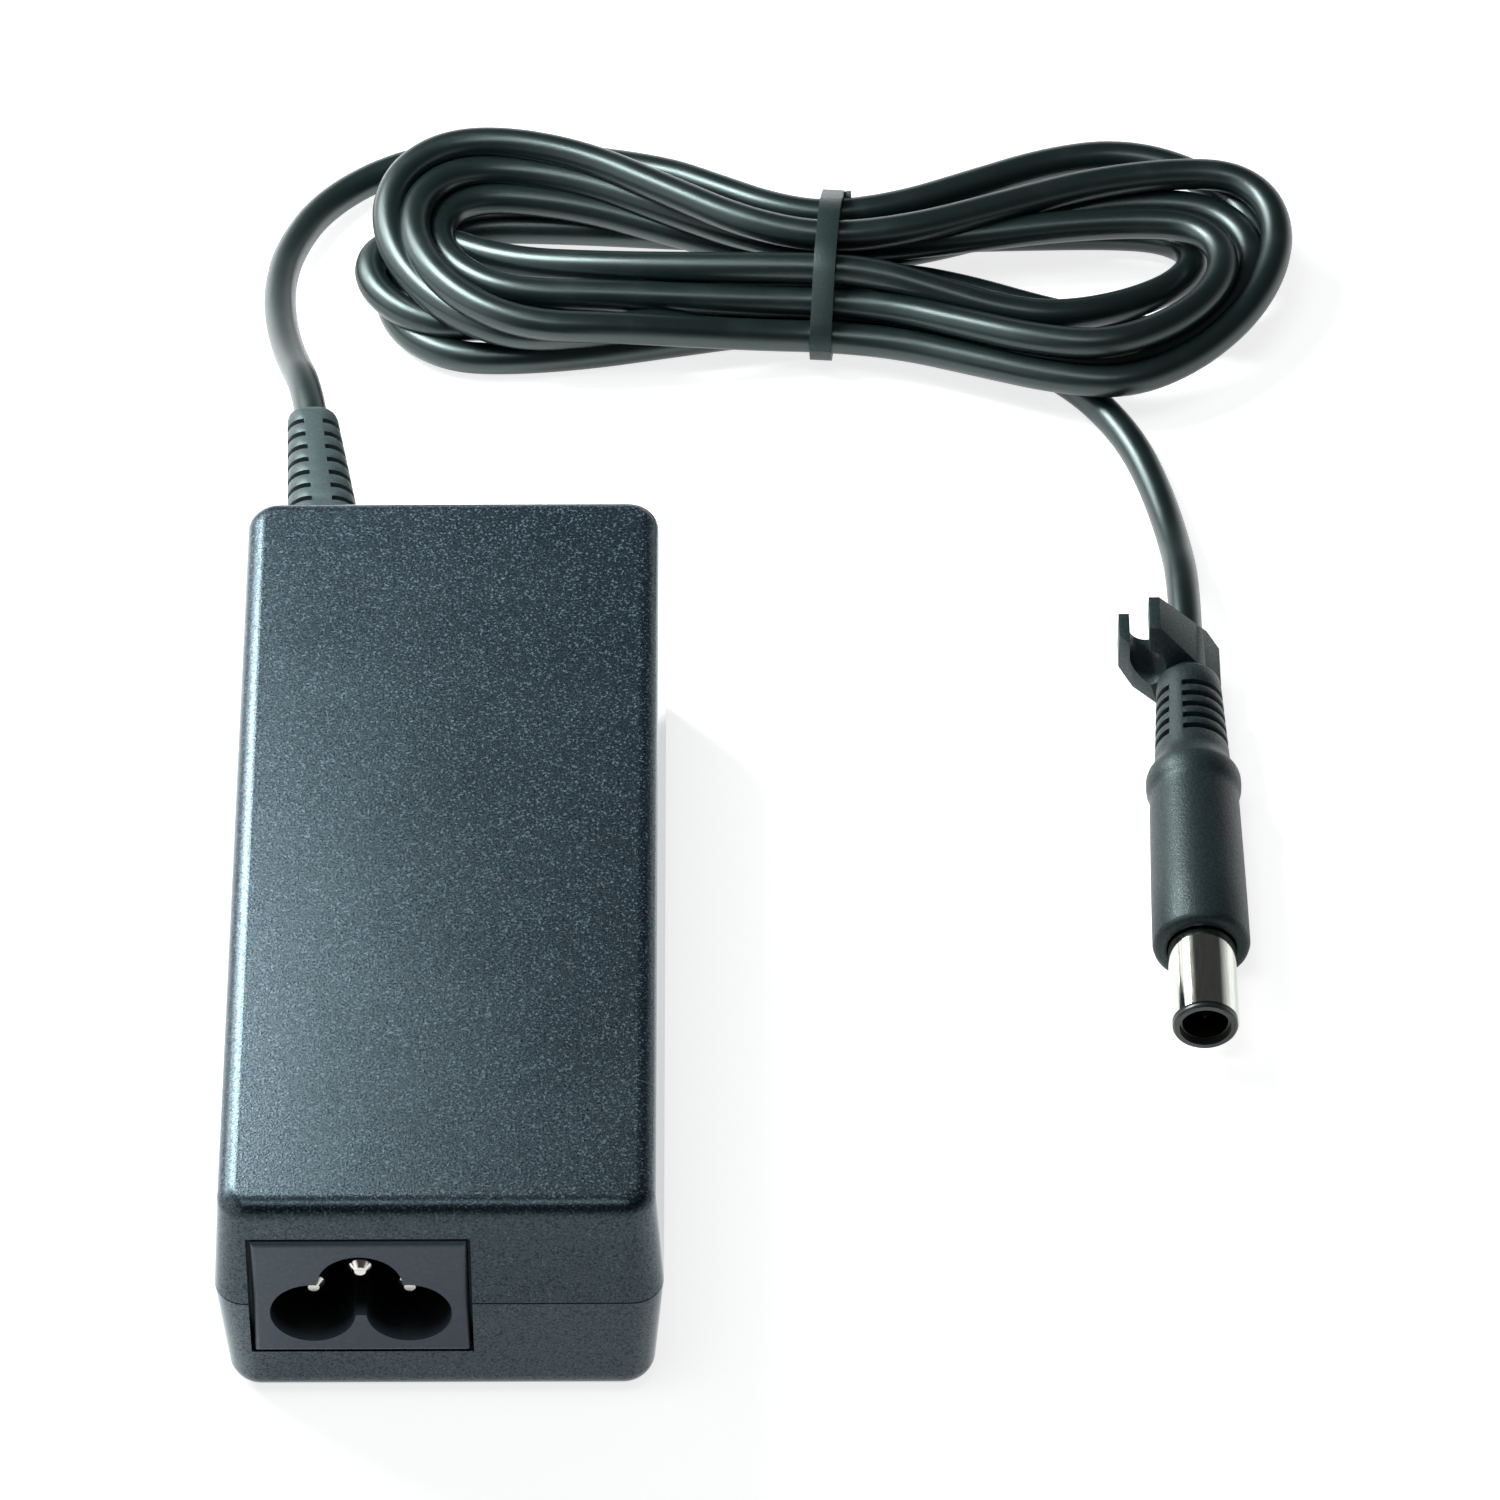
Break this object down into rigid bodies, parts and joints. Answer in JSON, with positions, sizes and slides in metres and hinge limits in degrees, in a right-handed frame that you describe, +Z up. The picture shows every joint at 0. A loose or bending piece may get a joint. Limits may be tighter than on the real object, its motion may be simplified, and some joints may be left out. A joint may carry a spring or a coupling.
{
  "type": "laptop power adapter",
  "caption": "Laptop power adapter: a tapered two-shell plastic brick with a three-pin mains inlet, a slotted boot and a tied low-voltage cord that ends in a round barrel plug.",
  "frame": {"origin": "middle of the underside of the brick, on the table the brick, the cord and the plug lie on", "axes": "+Y along the brick from the mains inlet to the boot, +X to the side where the plug lies, +Z up"},
  "size_m": [0.1237, 0.1927, 0.03],
  "materials": {
    "shell_plastic": "fine sparkle texture, satin",
    "inlet_plastic": "satin",
    "pin_metal": "polished nickel plate",
    "boot_rubber": "satin",
    "cord_jacket": "soft gloss",
    "tie_rubber": "satin",
    "grip_plastic": "satin",
    "barrel_metal": "polished nickel plate",
    "insulator_plastic": "satin",
    "contact_metal": "bright",
    "board_laminate": "lacquered",
    "wire_jacket": "satin",
    "fuse_ceramic": "matte",
    "capacitor_plastic": "satin",
    "disc_lacquer": "lacquered",
    "package_plastic": "matte",
    "ferrite": "matte",
    "copper_wire": "enamelled copper",
    "capacitor_sleeve": "shrink sleeve",
    "heatsink_metal": "rolled",
    "pad_rubber": "matte",
    "screw_metal": "zinc plate",
    "bobbin_plastic": "matte",
    "shield_metal": "copper sheet",
    "film_plastic": "matte"
  },
  "bodies": {
    "root": {"case_top_shell": "shell_plastic", "case_bottom_shell": "shell_plastic", "inlet_body": "inlet_plastic", "inlet_line_pin": "pin_metal", "inlet_neutral_pin": "pin_metal", "inlet_earth_pin": "pin_metal", "cord_boot": "boot_rubber", "dc_cord_lead": "cord_jacket", "dc_cord_hank": "cord_jacket", "dc_cord_tail": "cord_jacket", "cord_tie": "tie_rubber", "plug_grip": "grip_plastic", "plug_outer_sleeve": "barrel_metal", "plug_insulator": "insulator_plastic", "plug_inner_sleeve": "contact_metal", "plug_core": "insulator_plastic", "plug_centre_pin": "contact_metal", "plug_inner_mould": "insulator_plastic", "circuit_board": "board_laminate", "line_lead": "wire_jacket", "neutral_lead": "wire_jacket", "earth_lead": "wire_jacket", "fuse": "fuse_ceramic", "x_capacitor": "capacitor_plastic", "varistor": "disc_lacquer", "bridge_rectifier": "package_plastic", "choke_core": "ferrite", "choke_winding_left": "copper_wire", "choke_winding_right": "copper_wire", "bulk_capacitor": "capacitor_sleeve", "filter_choke": "ferrite", "y_capacitor": "disc_lacquer", "controller_chip": "package_plastic", "optocoupler": "package_plastic", "primary_heatsink": "heatsink_metal", "primary_insulating_pad": "pad_rubber", "switching_transistor": "package_plastic", "primary_screw": "screw_metal", "secondary_heatsink": "heatsink_metal", "secondary_insulating_pad": "pad_rubber", "output_diode": "package_plastic", "secondary_screw": "screw_metal", "transformer_core": "ferrite", "transformer_bobbin": "bobbin_plastic", "transformer_winding": "copper_wire", "output_capacitor_a": "capacitor_sleeve", "output_capacitor_b": "capacitor_sleeve", "output_choke": "ferrite", "positive_core": "wire_jacket", "negative_core": "wire_jacket", "shield": "shield_metal", "insulation_film": "film_plastic"}
  },
  "joints": []
}
